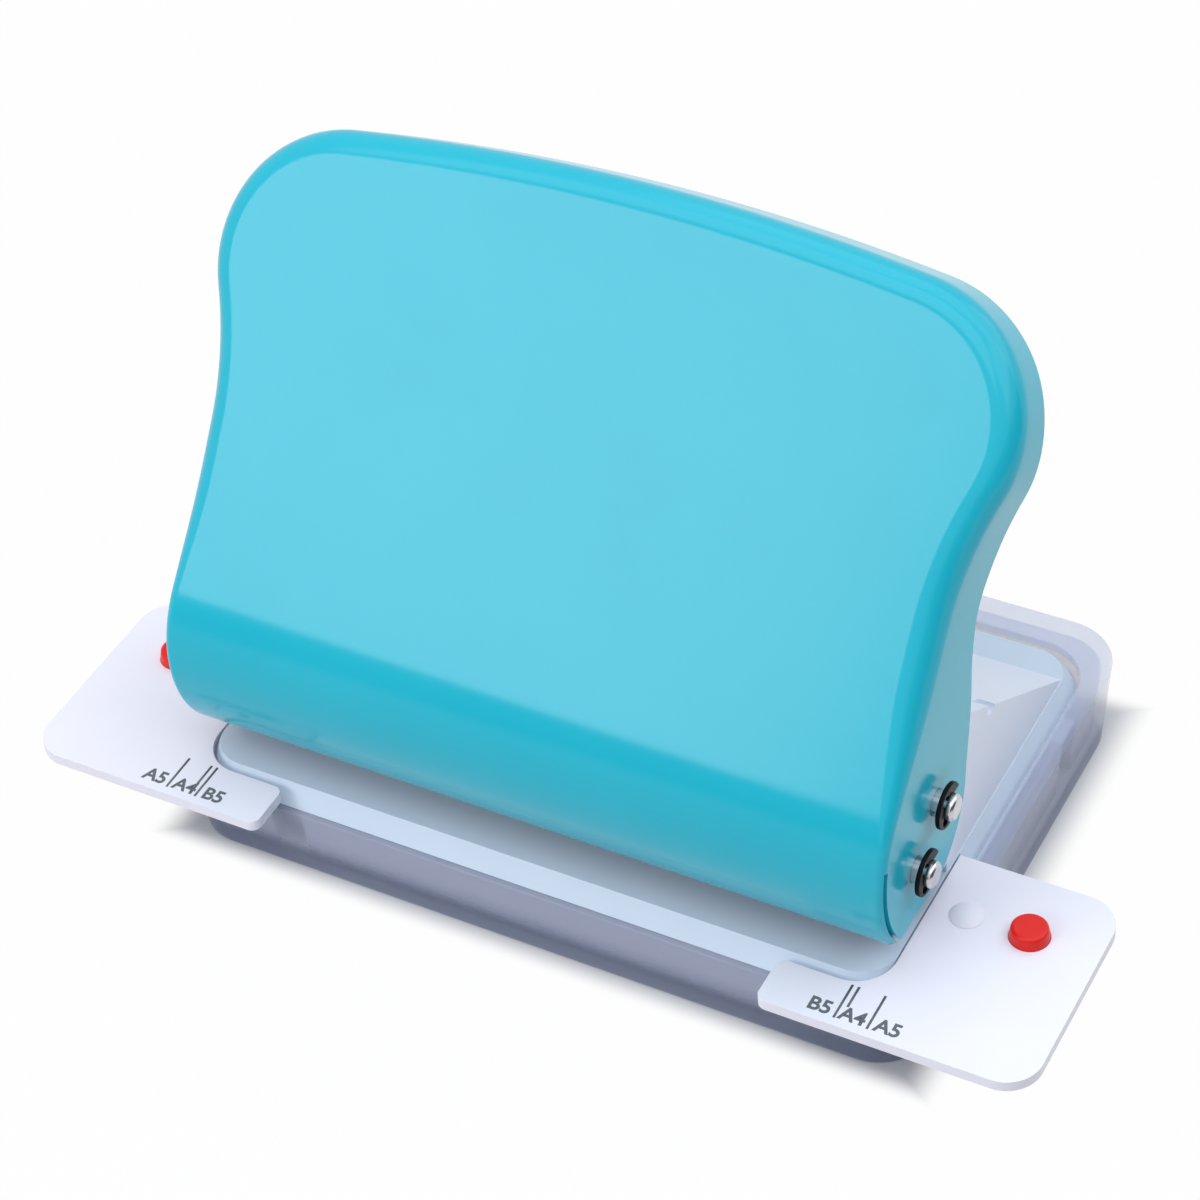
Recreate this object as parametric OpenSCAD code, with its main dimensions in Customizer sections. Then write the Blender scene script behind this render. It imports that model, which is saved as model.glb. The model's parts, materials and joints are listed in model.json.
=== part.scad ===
// Loose-leaf hole punch: ten holes at one press, millimetres, +Z up.
// The origin lies on the table, under the middle of the punch row. The front is at -Y.

/* [Punch row] */
// Distance between neighbouring holes
hole_pitch = 9.5; // [9:0.1:10]
// Diameter of a punch
punch_d = 5.5; // [5:0.1:6]
// Diameter of a punch head
head_d = 8.2; // [7.6:0.1:8.6]
// Thickness of a punch head
head_t = 1.5; // [1:0.1:2]
// Hole centre to the edge of the sheet
hole_margin = 6.5; // [5.5:0.5:8]
// Radial clearance of a running fit
fit = 0.05; // [0.02:0.01:0.1]
// Wire of the punch springs
spring_wire = 0.6; // [0.5:0.1:0.7]
// Mean diameter of the punch springs
spring_d = 6.9; // [6.7:0.1:7.2]
// Turns of a punch spring
spring_turns = 4; // [3:1:5]

/* [Paper bed] */
// Height of the paper level above the table
bed_h = 16; // [14.5:0.5:20]
// Height of the paper slot
slot_h = 1.8; // [1.2:0.1:2.2]
// Thickness of the deck plate
deck_t = 3.2; // [2.8:0.1:4]
// Depth of the deck, front to rear, at its foot
deck_d = 75.5; // [70:0.5:85]
// Front foot of the deck to the punch row
deck_front = 18.4; // [17:0.2:20]
// Width of the shoulder round the deck
shoulder = 2.1; // [1:0.1:2.4]
// Corner radius of the deck at its foot
deck_r = 8; // [6:0.5:12]
// Thickness of the die plate
die_t = 1.5; // [1:0.1:1.8]
// Thickness of the punch guide strips
guide_t = 1.2; // [1:0.1:1.6]
// Clear height between the two guide strips
guide_gap = 3.6; // [3:0.1:4]

/* [Frame] */
// Width across the side walls
frame_w = 111.6; // [108:0.2:116]
// Sheet thickness of the frame
frame_t = 1.5; // [1.2:0.1:2]
// Height of the bend where the rear plate is notched
notch_h = 35; // [32:0.5:37]
// Punch row to that bend notch
notch_y = 22.6; // [20:0.2:25]
// Slope of the rear plate
rear_slope = 34.8; // [30:0.2:38]

/* [Handle] */
// Sheet thickness of the handle
handle_t = 1.2; // [0.8:0.1:1.4]
// Side gap between a frame wall and a handle ear
ear_gap = 0.7; // [0.3:0.1:0.8]
// Lean of the panel above the horizontal
panel_lean = 54.5; // [50:0.5:60]
// Distance from the middle of the two shafts to the panel's front
panel_out = 16; // [15:0.2:17]
// Top edge of the panel above the level of the shafts, up the panel
panel_len = 78; // [70:0.5:85]
// Height of the waist above that level
waist_s = 30; // [26:1:34]
// Radius of the flare above the waist
flare_r = 57; // [50:1:70]
// Radius of the top corners
corner_r = 20; // [17:0.5:22]
// Radius of the arched top edge
top_r = 358; // [250:1:500]
// Outer radius of the bent rim
bend_r = 4; // [3:0.1:5]
// Depth of the rim behind the panel
rim_depth = 11; // [10:0.5:13]
// Outer radius of the curled nose
nose_r = 22; // [21:0.2:23]
// Start of the nose above the level of the shafts, up the panel
nose_rise = 4.8; // [4:0.1:5.6]
// Radius of the rear of the ears
ear_r = 13.8; // [13:0.1:14.4]
// Height of the handle's lower edge above the paper level
nose_gap = 6.9; // [6:0.1:9]
// Width of the slit between the nose and an ear, measured round the bend
slit = 1.6; // [1.4:0.1:2.2]
// Angle round the nose where that slit begins
slit_start = 168; // [164:1:172]

/* [Shafts] */
// Height of the pivot shaft above the paper level
pivot_h = 16; // [15:0.1:17]
// Pivot shaft to the punch row
pivot_back = 8.4; // [8:0.1:9]
// Distance between the pivot shaft and the press rod
throw = 9.6; // [9.2:0.1:10]
// Angle of the press rod above the horizontal at rest
throw_angle = 43.3; // [40:0.1:45]
// Diameter of both shafts
shaft_d = 4; // [3.6:0.1:5]
// Swing of the handle
press_angle = 43; // [40:0.5:44]
// Outside diameter of an E-clip
clip_d = 7; // [6.6:0.1:8]
// Thickness of an E-clip
clip_t = 0.7; // [0.5:0.1:0.9]
// Gap between an ear and the clip outside it
clip_gap = 1.3; // [0.3:0.1:1.6]
// Length of a shaft end outside its clip
shaft_end = 1.2; // [1:0.1:3]

/* [Wings] */
// Width across both wings
wing_span = 163.6; // [158:0.2:170]
// Thickness of a wing plate
wing_t = 1.8; // [1.4:0.1:2.2]
// Front edge of the wings to the punch row
wing_front = 26.2; // [24:0.2:28]
// Rear edge of the wings to the punch row
wing_rear = 10.4; // [9:0.2:14]
// Length of a front tab along the deck
tab_len = 15.3; // [10:0.1:25]
// Outer corner radius of a wing
wing_r = 5.5; // [3:0.5:8]
// Corner radius at the end of a front tab
tab_r = 1.5; // [1:0.1:3]
// Diameter of a red pin
pin_d = 6; // [5:0.1:6.4]
// Height of a red pin above its wing
pin_h = 2; // [1.5:0.1:2.2]
// Inner edge of a wing to the middle of its white stud
stud_edge = 5.45; // [4.5:0.05:6]
// Diameter of a white stud
stud_d = 5.4; // [5:0.1:6]
// Height of a white stud
stud_h = 1; // [0.6:0.1:1.4]

/* [Chip tray] */
// Width of the tray at its foot
tray_w = 121.2; // [119:0.2:126]
// Outward lean of the tray walls over their height
tray_draft = 1.2; // [1:0.1:2]
// Wall and floor thickness of the tray
tray_wall = 1.6; // [1.2:0.1:1.8]
// Rear of the tray behind the deck, at its top
tray_tail = 6.2; // [4:0.1:8]
// Corner radius of the tray foot
tray_r = 8; // [6:0.5:10]

/* [Clearances] */
// Gap between parts that only lie beside each other
gap = 0.3; // [0.2:0.05:0.4]
// Gap of the tray under the deck
seat_gap = 0.2; // [0.1:0.05:0.3]

/* [Hidden] */
$fn = 64;
long_arc_fn = 360;
far = 400;
// How far a cut runs past the face it opens
over = 1;

// Punch row
hole_count = 10;
first_hole = -hole_pitch * (hole_count - 1) / 2;

// Heights
tip_rise = 0.2;
deck_bottom = bed_h - deck_t;
die_z = bed_h - die_t;
lower_guide_z = bed_h + slot_h;
upper_guide_z = lower_guide_z + guide_t + guide_gap;
spring_seat = upper_guide_z + guide_t;
tip_z = lower_guide_z + tip_rise;
wing_z = bed_h - wing_t;

// Shafts: centres as [y, z]
pivot = [-pivot_back, bed_h + pivot_h];
rod_rest = pivot + throw * [cos(throw_angle), sin(throw_angle)];
rod_drop = throw * (sin(throw_angle) - sin(throw_angle - press_angle));
head_top = rod_rest[1] - shaft_d / 2 - gap;
head_z = head_top - head_t;
echo(handle_axis = pivot, rod_drop = rod_drop, mm_per_rad = rod_drop / (press_angle * PI / 180));

// Widths
deck_ledge = 0.2;
frame_x = frame_w / 2;
wall_in = frame_x - frame_t;
ear_in = frame_x + ear_gap;
ear_out = ear_in + handle_t;
deck_top_x = frame_x + deck_ledge;
deck_x = deck_top_x + shoulder;
wing_in = deck_top_x + gap;
wing_out = wing_span / 2;
stud_x = wing_in + stud_edge;
pin_x = stud_x + hole_pitch;
clip_x = ear_out + clip_gap;
shaft_half = clip_x + clip_t + shaft_end;

// Deck edges
deck_y0 = -deck_front;
deck_y1 = deck_y0 + deck_d;
tab_rear = deck_y0 + gap;
tab_in = wing_in - tab_len;

// Guide strips and die plate
strip_y0 = -6;
stop_t = 2.5;
strip_y1 = hole_margin + stop_t;
die_end = 5;
die_x = wall_in - die_end;
chip_room = 1.5;
chip_slot_x = -first_hole + punch_d / 2 + chip_room;
chip_slot_y = punch_d / 2 + chip_room;
strip_tab_w = 6;
tip_hollow = 0.7;

// Handle: the panel is measured from the middle of the two shafts, and the nose rolls off its lower end
hub = (pivot + rod_rest) / 2;
panel_normal = [-sin(panel_lean), cos(panel_lean)];
panel_up = [cos(panel_lean), sin(panel_lean)];
panel_foot = hub + panel_out * panel_normal;
nose = panel_foot + nose_rise * panel_up - nose_r * panel_normal;
handle_bottom = bed_h + nose_gap;
nose_end = 180 + asin((nose[1] - handle_bottom) / nose_r);
nose_start = 90 + panel_lean;
rim_lip = 3;
// Stretches of the bent sheet run a little into each other, each second one a hair inside the rest
seam_len = 0.5;
seam_step = 0.02;
slit_turn = slit / bend_r * 180 / PI;
// Ear: its front edge ends where the bend does, its toe stands a little before the nose's end
ear_front_r = nose_r - bend_r;
toe_start = nose_end - 8;
toe_back = 3.6;
toe_y = nose[0] + nose_r * cos(nose_end) + toe_back;
// Rear edge of an ear above its round end, up the panel and behind the middle of the shafts
neck_low = ear_r * [cos(45), sin(45)];
neck_mid_up = 18.5;
neck_mid_back = 8.3;
neck_high_up = 24.8;
neck_high_back = 3.7;
ear_root_up = 31;
ear_root_back = 2.7;
ear_end_up = 39;

// Handle outline on the panel: flare, corner and top arcs that meet smoothly
flare_c = [ear_out + flare_r, waist_s];
top_c = [0, panel_len - top_r];
corner_c = meet(flare_c, flare_r + corner_r, top_c, top_r - corner_r);
corner_a0 = angle_of(flare_c - corner_c);
corner_a1 = angle_of(corner_c - top_c);

// Rear plate of the frame
rear_fall = tan(rear_slope);
rear_foot_y = notch_y + (notch_h - bed_h) / rear_fall;
ridge_room = 7;
ridge_y = rod_rest[0] + shaft_d / 2 + ridge_room;
ridge_top = 6;
plate_top_y = ridge_y + ridge_top;
notch_d = frame_t + 1.5;
foot_w = 9;
foot_room = 3;
foot_lift = 4;
foot_y0 = strip_y1 + foot_room;
foot_y1 = notch_y + (notch_h - bed_h - frame_t - foot_lift) / rear_fall;
boss_wall = 3.4;
boss_r = shaft_d / 2 + boss_wall;
slot_r = shaft_d / 2 + gap;
boss_low = 210;
boss_high = 127;

// Red pins
pin_taper = 0.3;
pin_proud = 0.2;
pin_travel = pin_h - pin_proud;
echo(pin_travel = pin_travel);
flange_d = pin_d + 2;
flange_t = 1;
cup_wall = 0.9;
cup_in_d = flange_d + 2 * gap;
cup_d = cup_in_d + 2 * cup_wall;
cup_floor = 1;
cup_depth = 7;
cup_z = wing_z - cup_depth;
pin_spring_wire = 0.5;
pin_spring_d = pin_d - pin_spring_wire;
pin_spring_turns = 3;

// Wing tongues and screws
tongue_t = 1.8;
tongue_y = 7;
tongue_in = frame_x - 8;
riser_x0 = deck_x + gap;
riser_t = 2;
screw_d = 3;
screw_head_d = 5.5;
screw_head_t = 1.8;
head_lean = 0.5;
recess_w = 0.8;
recess_depth = 0.9;
blind_skin = 1;
screw_bite = deck_t - blind_skin;
wing_screw_x = tongue_in + 4;
wing_screw_y = 4;
frame_screw_x = wall_in - foot_w / 2;
frame_screw_inset = 5;

// Chip tray
tray_x = tray_w / 2;
tray_inset = -1.1;
tray_y0 = deck_y0 + tray_inset + tray_draft;
tray_y1 = deck_y1 + tray_tail - tray_draft;
rim_drop = 0.5;
tray_top = bed_h - rim_drop;
tray_low = deck_bottom - seat_gap;
tray_flange_t = 1.5;
tray_step_y = wing_rear + gap;
rib_w = 5.5;
rib_t = 2.5;
rib_front_x = 42;
rib_side_y = deck_y1 - 14;
rib_rear_x = 34;

// E-clips and shaft grooves
groove_d = shaft_d - 1;
clip_mouth = groove_d * 0.72;
clip_notch = 1;

// Colours
steel = "silver";
dark_steel = "dimgray";
clip_black = [0.08, 0.08, 0.09];
paint = [0.16, 0.7, 0.76];
white_paint = [0.93, 0.93, 0.95];
white_plastic = [0.95, 0.95, 0.96];
deck_white = [0.88, 0.89, 0.9];
clear_plastic = [0.8, 0.83, 0.9, 0.5];
red_plastic = [0.86, 0.2, 0.16];

// Direction of a vector in degrees
function angle_of(v) = atan2(v[1], v[0]);

// Point where two circles cross, on the left of the way from a to b
function meet(a, ra, b, rb) =
    let (
        d = norm(b - a),
        along = (d * d + ra * ra - rb * rb) / (2 * d),
        aside = sqrt(ra * ra - along * along),
        u = (b - a) / d
    )
    a + along * u + aside * [u[1], -u[0]];

// Points of an arc
function arc(c, r, a0, a1, n) =
    [for (i = [0 : n]) c + r * [cos(a0 + (a1 - a0) * i / n), sin(a0 + (a1 - a0) * i / n)]];

// Axis along X: local x and y become Y and Z
module along_x(x, yz) {
    translate([x, yz[0], yz[1]]) rotate([90, 0, 90]) children();
}

// Panel frame: local y runs up the panel, local z points out of its front
module on_panel() {
    translate([0, panel_foot[0], panel_foot[1]]) rotate([panel_lean, 0, 0]) children();
}

// The same on both sides
module both_sides() {
    children();
    mirror([1, 0, 0]) children();
}

// Flat rectangle with round corners
module round_rect(x0, x1, y0, y1, r) {
    translate([x0 + r, y0]) square([x1 - x0 - 2 * r, y1 - y0]);
    translate([x0, y0 + r]) square([x1 - x0, y1 - y0 - 2 * r]);
    for (x = [x0 + r, x1 - r], y = [y0 + r, y1 - r]) translate([x, y]) circle(r);
}

// Block with round corners whose walls lean in by draft over its height
module drafted_block(half_w, y0, y1, r, h, draft) {
    cx = half_w - r;
    cy0 = y0 + r;
    cy1 = y1 - r;
    for (x = [-cx, cx], y = [cy0, cy1]) translate([x, y, 0]) cylinder(h, r, r - draft);
    translate([0, cy1, 0]) rotate([90, 0, 0]) linear_extrude(cy1 - cy0)
        polygon([[-half_w, 0], [half_w, 0], [half_w - draft, h], [draft - half_w, h]]);
    along_x(-cx, [0, 0]) linear_extrude(2 * cx)
        polygon([[y0, 0], [y1, 0], [y1 - draft, h], [y0 + draft, h]]);
}

// Rings of a coil spring's tube, with straight ends that stand on their seats
function coil_path(r, wire, h, turns) =
    let (steps = 8 * turns, z0 = 1.5 * wire, rise = h - 3 * wire)
    concat(
        [[r, 0, 0]],
        [for (i = [0 : steps])
            let (a = 360 * i / 8)
            [r * cos(a), r * sin(a), z0 + rise * i / steps]],
        [[r, 0, h]]
    );
function coil_rings(r, wire, h, turns) =
    let (path = coil_path(r, wire, h, turns), last = len(path) - 1)
    [for (i = [0 : last])
        let (
            p = path[i],
            a = i == 0 || i == last ? 0 : 45 * (i - 1),
            out = [cos(a), sin(a), 0],
            way = i == 0 || i == last ? [0, 0, 1] : coil_way(path, i, a),
            side = cross(way, out)
        )
        [for (k = [0 : 5]) p + wire / 2 * (cos(60 * k) * out + sin(60 * k) * side)]];

// Direction of the tube at a ring, square to the radius there
function coil_way(path, i, a) =
    let (d = path[i + 1] - path[i - 1], t = [-sin(a), cos(a), 0] * d)
    unit(t * [-sin(a), cos(a), 0] + d[2] * [0, 0, 1]);
function unit(v) = v / norm(v);

// Least gap of a coil to itself, measured on its points
function coil_gap(r, wire, h, turns) =
    let (path = coil_path(r, wire, h, turns), n = len(path))
    min([for (i = [0 : n - 1]) for (j = [i + 5 : 1 : n - 1]) norm(path[i] - path[j])]) - wire;

module coil(r, wire, h, turns) {
    rings = coil_rings(r, wire, h, turns);
    last = len(rings) - 1;
    points = [for (ring = rings) each ring];
    sides = [for (i = [0 : last - 1]) for (k = [0 : 5])
        let (a = 6 * i + k, b = 6 * i + (k + 1) % 6)
        each [[a, a + 6, b], [b, a + 6, b + 6]]];
    foot = [for (k = [1 : 4]) [0, k, k + 1]];
    tip = [for (k = [1 : 4]) [6 * last, 6 * last + k + 1, 6 * last + k]];
    polyhedron(points, concat(sides, foot, tip));
}

// Edge of the handle's sheet, set in by a step: inwards from the outer face, down from the front
module rim_profile(step, depth = rim_depth) {
    translate([step, -step]) {
        translate([0, -depth]) square([handle_t, depth - bend_r]);
        intersection() {
            translate([bend_r, -bend_r]) difference() {
                circle(bend_r);
                circle(bend_r - handle_t);
            }
            translate([0, -bend_r]) square(bend_r);
        }
        translate([bend_r, -handle_t]) square([rim_lip, handle_t]);
    }
}

// Angle that a seam takes on an arc
function seam_angle(r) = seam_len / r * 180 / PI;

// One side of the rim: straight, then the flare, then the corner
module side_rim() {
    flare_a = angle_of(corner_c - flare_c);
    more = seam_angle(flare_r);
    translate([ear_out, waist_s, 0]) rotate([90, 0, 0]) linear_extrude(waist_s - nose_rise)
        mirror([1, 0]) rim_profile(0);
    translate(flare_c) rotate(flare_a - more)
        rotate_extrude(angle = 180 - flare_a + 2 * more, $fn = long_arc_fn)
        translate([flare_r, 0]) rim_profile(seam_step);
    translate(corner_c) rotate(corner_a0) rotate_extrude(angle = corner_a1 - corner_a0, $fn = 96)
        translate([corner_r, 0]) mirror([1, 0]) rim_profile(0);
}

// Arched top of the rim, from corner to corner
module top_rim() {
    a = corner_a1 - seam_angle(top_r);
    translate(top_c) rotate(a) rotate_extrude(angle = 180 - 2 * a, $fn = long_arc_fn)
        translate([top_r, 0]) mirror([1, 0]) rim_profile(seam_step);
}

// Flat of the panel inside its bent rim
module panel_flat() {
    inset = bend_r + rim_lip / 2;
    flare_a = angle_of(corner_c - flare_c);
    half = concat(
        [[ear_out - inset, nose_rise - seam_len]],
        arc(flare_c, flare_r + inset, 180, flare_a, 6),
        arc(corner_c, corner_r - inset, corner_a0, corner_a1, 12),
        arc(top_c, top_r - inset, corner_a1, 90, 8)
    );
    other = [for (i = [len(half) - 1 : -1 : 0]) [-half[i][0], half[i][1]]];
    translate([0, 0, -handle_t]) linear_extrude(handle_t) polygon(concat(half, other));
}

// Cross-section of the nose, radius and X: the bent rim goes on round the nose
module nose_profile(step) {
    for (side = [0, 1]) mirror([0, side]) {
        translate([nose_r, ear_out]) rotate(-90) rim_profile(step, bend_r + seam_len);
        translate([nose_r - step - handle_t, 0]) square([handle_t, ear_out - bend_r]);
    }
}

// The same where the slits take away the last part of both bends
module slit_nose_profile(step) {
    difference() {
        nose_profile(step);
        for (side = [0, 1]) mirror([0, side])
            translate([nose_r - bend_r, ear_out - bend_r]) rotate(90 - slit_turn) square(2 * bend_r);
    }
}

// Curled nose: whole down to where the slits begin, then with the slits beside it
module nose_curl() {
    more = seam_angle(nose_r);
    along_x(0, nose) rotate(nose_start - more)
        rotate_extrude(angle = slit_start - nose_start + more) nose_profile(seam_step);
    along_x(0, nose) rotate(slit_start - more)
        rotate_extrude(angle = nose_end - slit_start + more) slit_nose_profile(2 * seam_step);
}

// Side view of an ear, y and z: the front follows the nose, the rear is round below and waisted
module ear_profile() {
    difference() {
        union() {
            intersection() {
                translate(nose) circle(ear_front_r);
                translate(nose) rotate(nose_start) translate([-far, 0]) square([2 * far, far]);
                translate([-far, -far]) square([far + hub[0], 2 * far]);
            }
            polygon([
                hub, nose + ear_front_r * [cos(toe_start), sin(toe_start)],
                [toe_y, handle_bottom], [hub[0], handle_bottom]
            ]);
            intersection() {
                translate(hub) circle(ear_r);
                translate([hub[0] - handle_t, -far]) square(2 * far);
            }
            translate(panel_foot) rotate(panel_lean) polygon([
                [0, -bend_r], [0, -panel_out], [neck_low[0], -panel_out - neck_low[1]],
                [neck_mid_up, -panel_out - neck_mid_back], [neck_high_up, -panel_out - neck_high_back],
                [ear_root_up, -rim_depth - ear_root_back], [ear_end_up, -rim_depth],
                [ear_end_up, handle_t - rim_depth], [neck_high_up, -bend_r]
            ]);
        }
        translate([-far, handle_bottom - far]) square([2 * far, far]);
    }
}

module handle() {
    color(paint) difference() {
        union() {
            on_panel() {
                panel_flat();
                both_sides() side_rim();
                top_rim();
            }
            nose_curl();
            both_sides() along_x(ear_in, [0, 0]) linear_extrude(handle_t) ear_profile();
        }
        along_x(-far, pivot) cylinder(2 * far, d = shaft_d + 2 * fit);
        along_x(-far, rod_rest) cylinder(2 * far, d = shaft_d);
    }
}

// Shaft with a clip groove and a chamfer at each end
module shaft() {
    chamfer = shaft_end / 3;
    along_x(0, [0, 0]) rotate_extrude() polygon([
        [0, -shaft_half], [shaft_d / 2 - chamfer, -shaft_half],
        [shaft_d / 2, chamfer - shaft_half], [shaft_d / 2, -clip_x - clip_t],
        [groove_d / 2, -clip_x - clip_t], [groove_d / 2, -clip_x], [shaft_d / 2, -clip_x],
        [shaft_d / 2, clip_x], [groove_d / 2, clip_x], [groove_d / 2, clip_x + clip_t],
        [shaft_d / 2, clip_x + clip_t], [shaft_d / 2, shaft_half - chamfer],
        [shaft_d / 2 - chamfer, shaft_half], [0, shaft_half]
    ]);
}

// E-clip: a ring open to the rear, with three lugs that grip the groove
module e_clip() {
    linear_extrude(clip_t) difference() {
        circle(d = clip_d);
        circle(d = groove_d);
        translate([0, -clip_mouth / 2]) square([clip_d, clip_mouth]);
        for (a = [125, 235]) rotate(a) translate([groove_d / 2 + clip_notch / 2, 0])
            circle(clip_notch, $fn = 24);
    }
}

module clip_pair(yz) {
    both_sides() along_x(clip_x, yz) e_clip();
}

module pivot_shaft() { color(steel) translate([0, pivot[0], pivot[1]]) shaft(); }
module press_rod() { color(steel) translate([0, rod_rest[0], rod_rest[1]]) shaft(); }
module pivot_clips() { color(clip_black) clip_pair(pivot); }
module press_rod_clips() { color(clip_black) clip_pair(rod_rest); }

// Side view of a frame wall: pivot boss, lug for the rod slot, long sloped rear
module wall_profile() {
    ridge_h = notch_h + (notch_y - ridge_y) * rear_fall;
    translate(pivot) circle(boss_r);
    difference() {
        polygon([
            [strip_y0, bed_h], pivot + boss_r * [cos(boss_low), sin(boss_low)],
            pivot + boss_r * [cos(boss_high), sin(boss_high)], [rod_rest[0] - shaft_d / 2, ridge_h],
            [ridge_y, ridge_h], [rear_foot_y, bed_h]
        ]);
        translate([hole_margin - far, bed_h - over]) square([far, slot_h + over]);
    }
}

// Curved slot that the press rod swings in
module rod_slot() {
    along_x(-far, pivot) {
        rotate(throw_angle - press_angle) rotate_extrude(angle = press_angle)
            translate([throw - slot_r + seam_step, 0]) square([2 * (slot_r - seam_step), 2 * far]);
        for (a = [throw_angle, throw_angle - press_angle])
            rotate(a) translate([throw, 0]) cylinder(2 * far, r = slot_r);
    }
}

// Side view of the room between the walls, under the rear plate and in front of it
module hollow_profile() {
    drop = frame_t / cos(rear_slope);
    top = notch_h + (notch_y - plate_top_y) * rear_fall;
    polygon([
        [-far, bed_h - over], [rear_foot_y + (over - drop) / rear_fall, bed_h - over],
        [plate_top_y, top - drop], [plate_top_y, far], [-far, far]
    ]);
}

module frame() {
    color(white_paint) difference() {
        union() {
            difference() {
                along_x(-frame_x, [0, 0]) linear_extrude(frame_w) wall_profile();
                along_x(-wall_in, [0, 0]) linear_extrude(2 * wall_in) hollow_profile();
            }
            both_sides() translate([wall_in - foot_w, foot_y0, bed_h])
                cube([foot_w, foot_y1 - foot_y0, frame_t]);
        }
        along_x(-far, pivot) cylinder(2 * far, d = shaft_d);
        rod_slot();
        both_sides() along_x(wall_in - over, [notch_y, notch_h])
            cylinder(frame_t + 2 * over, d = notch_d);
        for (z = [lower_guide_z, upper_guide_z]) both_sides()
            translate([wall_in - over, -strip_tab_w / 2, z])
                cube([frame_t + 2 * over, strip_tab_w, guide_t]);
        frame_screw_places() cylinder(deck_t + frame_t + over, d = screw_d);
    }
}

module frame_screw_places() {
    for (x = [-1, 1], y = [foot_y0 + frame_screw_inset, foot_y1 - frame_screw_inset])
        translate([x * frame_screw_x, y, deck_bottom]) children();
}

module wing_screw_places() {
    for (x = [-1, 1], y = [-wing_screw_y, wing_screw_y])
        translate([x * wing_screw_x, y, deck_bottom]) children();
}

// Screw with its head seat at z = 0, pointing up
module screw(length) {
    translate([0, 0, -screw_head_t]) difference() {
        cylinder(screw_head_t, d1 = screw_head_d - 2 * head_lean, d2 = screw_head_d);
        for (a = [0, 90]) rotate(a) translate([-screw_d / 2, -recess_w / 2, -over])
            cube([screw_d, recess_w, over + recess_depth]);
    }
    cylinder(length, d = screw_d);
}

module frame_screws() {
    color(dark_steel) frame_screw_places() screw(deck_t + frame_t);
}

module wing_screws() {
    color(dark_steel) wing_screw_places() translate([0, 0, -tongue_t]) screw(tongue_t + screw_bite);
}

// Strip that guides the punches, with a tab through each frame wall
module guide_strip(z) {
    difference() {
        union() {
            translate([-wall_in, strip_y0, z]) cube([2 * wall_in, strip_y1 - strip_y0, guide_t]);
            translate([-frame_x, -strip_tab_w / 2, z]) cube([frame_w, strip_tab_w, guide_t]);
        }
        punch_places() cylinder(far, d = punch_d + 2 * fit);
    }
}

module punch_places() {
    for (i = [0 : hole_count - 1]) translate([first_hole + i * hole_pitch, 0, 0]) children();
}

module lower_punch_guide() { color(steel) guide_strip(lower_guide_z); }
module upper_punch_guide() { color(steel) guide_strip(upper_guide_z); }

module paper_stop() {
    color(steel) translate([-wall_in, hole_margin, bed_h])
        cube([2 * wall_in, strip_y1 - hole_margin, slot_h]);
}

module die_plate() {
    color(steel) difference() {
        translate([-die_x, strip_y0, die_z]) cube([2 * die_x, strip_y1 - strip_y0, die_t]);
        punch_places() cylinder(far, d = punch_d + 2 * fit);
    }
}

// Punch with a flat head and a hollow cutting end
module punch(i) {
    hollow_r = punch_d;
    color(steel) translate([first_hole + (i - 1) * hole_pitch, 0, 0]) difference() {
        union() {
            translate([0, 0, tip_z]) cylinder(head_z - tip_z, d = punch_d);
            translate([0, 0, head_z]) cylinder(head_t, d = head_d);
        }
        along_x(-far, [0, tip_z + tip_hollow - hollow_r]) cylinder(2 * far, r = hollow_r);
    }
}

module punch_springs() {
    h = head_z - spring_seat;
    echo(punch_spring_gap = coil_gap(spring_d / 2, spring_wire, h, spring_turns));
    color(dark_steel) punch_places() translate([0, 0, spring_seat])
        coil(spring_d / 2, spring_wire, h, spring_turns);
}

// Deck: a plate with a leaning shoulder, cut away where the wings lie
module deck() {
    color(deck_white) difference() {
        translate([0, 0, deck_bottom])
            drafted_block(deck_x, deck_y0, deck_y1, deck_r, deck_t, shoulder);
        both_sides() translate([0, 0, wing_z - gap]) linear_extrude(far) wing_outline(gap);
        translate([-die_x, strip_y0, die_z]) cube([2 * die_x, strip_y1 - strip_y0, far]);
        translate([-chip_slot_x, -chip_slot_y, 0]) cube([2 * chip_slot_x, 2 * chip_slot_y, far]);
        frame_screw_places() cylinder(far, d = screw_d, center = true);
        wing_screw_places() cylinder(2 * screw_bite, d = screw_d, center = true);
    }
}

// Plan of the right wing, grown by a margin
module wing_outline(m) {
    cut_r = deck_r - shoulder + gap - m;
    difference() {
        union() {
            round_rect(wing_in - m, wing_out + m, -wing_front - m, wing_rear + m, wing_r);
            translate([wing_in - m, -wing_r]) square([wing_r, wing_rear + m + wing_r]);
            round_rect(tab_in - m, wing_in + 3 * wing_r, -wing_front - m, tab_rear + m, tab_r);
            translate([wing_in - m - cut_r, tab_rear + m - tab_r])
                square([cut_r + wing_r, cut_r + tab_r]);
        }
        translate([wing_in - m - cut_r, tab_rear + m + cut_r]) circle(cut_r);
    }
}

// Right wing: plate, tongue under the deck, holes for the pin and the stud
module wing() {
    color(white_plastic) difference() {
        union() {
            translate([0, 0, wing_z]) linear_extrude(wing_t) wing_outline(0);
            translate([riser_x0, -tongue_y, deck_bottom - tongue_t])
                cube([riser_t, 2 * tongue_y, wing_z - deck_bottom + tongue_t]);
            translate([tongue_in, -tongue_y, deck_bottom - tongue_t])
                cube([riser_x0 + riser_t - tongue_in, 2 * tongue_y, tongue_t]);
        }
        translate([pin_x, 0, wing_z - over]) cylinder(wing_t + 2 * over, d = pin_d + 2 * fit);
        translate([stud_x, 0, wing_z - over]) cylinder(wing_t + 2 * over, d = stud_d / 2);
        wing_screw_places() cylinder(far, d = screw_d, center = true);
    }
}

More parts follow.
